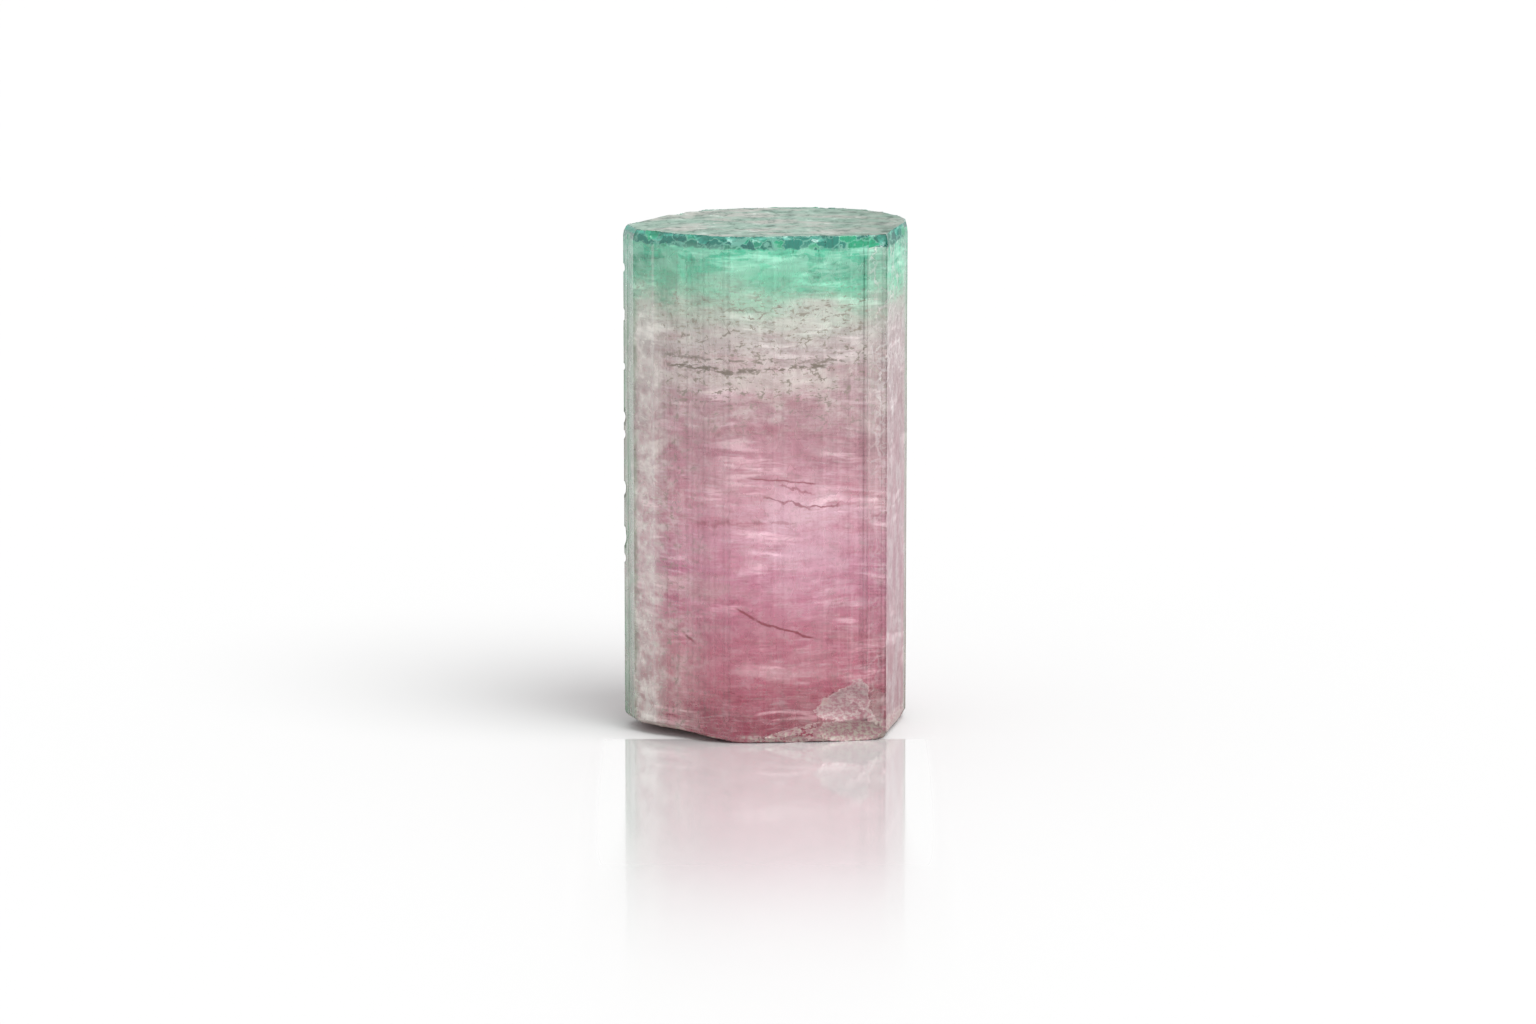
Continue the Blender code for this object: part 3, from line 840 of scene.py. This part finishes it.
floor_shape = bmesh.new()
bmesh.ops.create_grid(floor_shape, x_segments=1, y_segments=1, size=FLOOR_HALF)
floor_mesh = bpy.data.meshes.new("floor")
floor_shape.to_mesh(floor_mesh)
floor_shape.free()
floor = bpy.data.objects.new("floor", floor_mesh)
bpy.context.scene.collection.objects.link(floor)

board = bpy.data.materials.new("white_board")
board.use_nodes = True
board_shader = board.node_tree.nodes["Principled BSDF"]
board_shader.inputs["Base Color"].default_value = (*FLOOR_WHITE, 1.0)
board_shader.inputs["Coat Roughness"].default_value = 0.05
board_nodes = board.node_tree.nodes
board_links = board.node_tree.links
floor_coords = board_nodes.new("ShaderNodeTexCoord")
floor_split = board_nodes.new("ShaderNodeSeparateXYZ")
board_links.new(floor_coords.outputs["Object"], floor_split.inputs[0])


def board_ramp(value, start, end, bottom=0.0, top=1.0):
    node = board_nodes.new("ShaderNodeMapRange")
    node.interpolation_type = "SMOOTHSTEP"
    board_links.new(value, node.inputs["Value"])
    for name, number in (("From Min", start), ("From Max", end), ("To Min", bottom), ("To Max", top)):
        node.inputs[name].default_value = number
    return node.outputs[0]


def board_maths(operation, first, second):
    node = board_nodes.new("ShaderNodeMath")
    node.operation = operation
    board_links.new(first, node.inputs[0])
    board_links.new(second, node.inputs[1])
    return node.outputs[0]


aside, forwards = floor_split.outputs[0], floor_split.outputs[1]
fade_forwards = board_ramp(forwards, POLISH_GONE, POLISH_FULL)
fade_right = board_ramp(aside, POLISH_HALF_WIDTH + POLISH_FADE, POLISH_HALF_WIDTH)
fade_left = board_ramp(aside, -POLISH_HALF_WIDTH - POLISH_FADE, -POLISH_HALF_WIDTH)
fade_back = board_ramp(forwards, POLISH_STARTS, POLISH_STARTS - POLISH_SOFT)
polish = board_maths("MULTIPLY", board_maths("MULTIPLY", fade_forwards, fade_back),
                     board_maths("MULTIPLY", fade_right, fade_left))
board_links.new(polish, board_shader.inputs["Coat Weight"])
board_links.new(board_ramp(polish, 0.0, 1.0, DULL, SMOOTH), board_shader.inputs["Roughness"])
floor.data.materials.append(board)

# %% [markdown]
# ## Light
#
# An evenly white room lights the crystal from all sides and through its back. One wide lamp from high in
# front and to the right throws the soft shadow to the left and backwards.

# %% Light the table
ROOM_STRENGTH = 1.0
LAMP_STRENGTH = 2.95
LAMP_WIDTH = math.radians(42)
LAMP_FROM = Vector((0.25, -0.21, 0.54))

room = bpy.data.worlds.new("white_room")
bpy.context.scene.world = room
room.use_nodes = True
room.node_tree.nodes["Background"].inputs["Color"].default_value = (1.0, 1.0, 1.0, 1.0)
room.node_tree.nodes["Background"].inputs["Strength"].default_value = ROOM_STRENGTH
lamp = bpy.data.lights.new("lamp", "SUN")
lamp.energy = LAMP_STRENGTH
lamp.angle = LAMP_WIDTH
lamp_object = bpy.data.objects.new("lamp", lamp)
lamp_object.location = LAMP_FROM
lamp_object.rotation_euler = (-LAMP_FROM).to_track_quat("-Z", "Y").to_euler()
bpy.context.scene.collection.objects.link(lamp_object)
bpy.context.scene.view_settings.view_transform = "Standard"
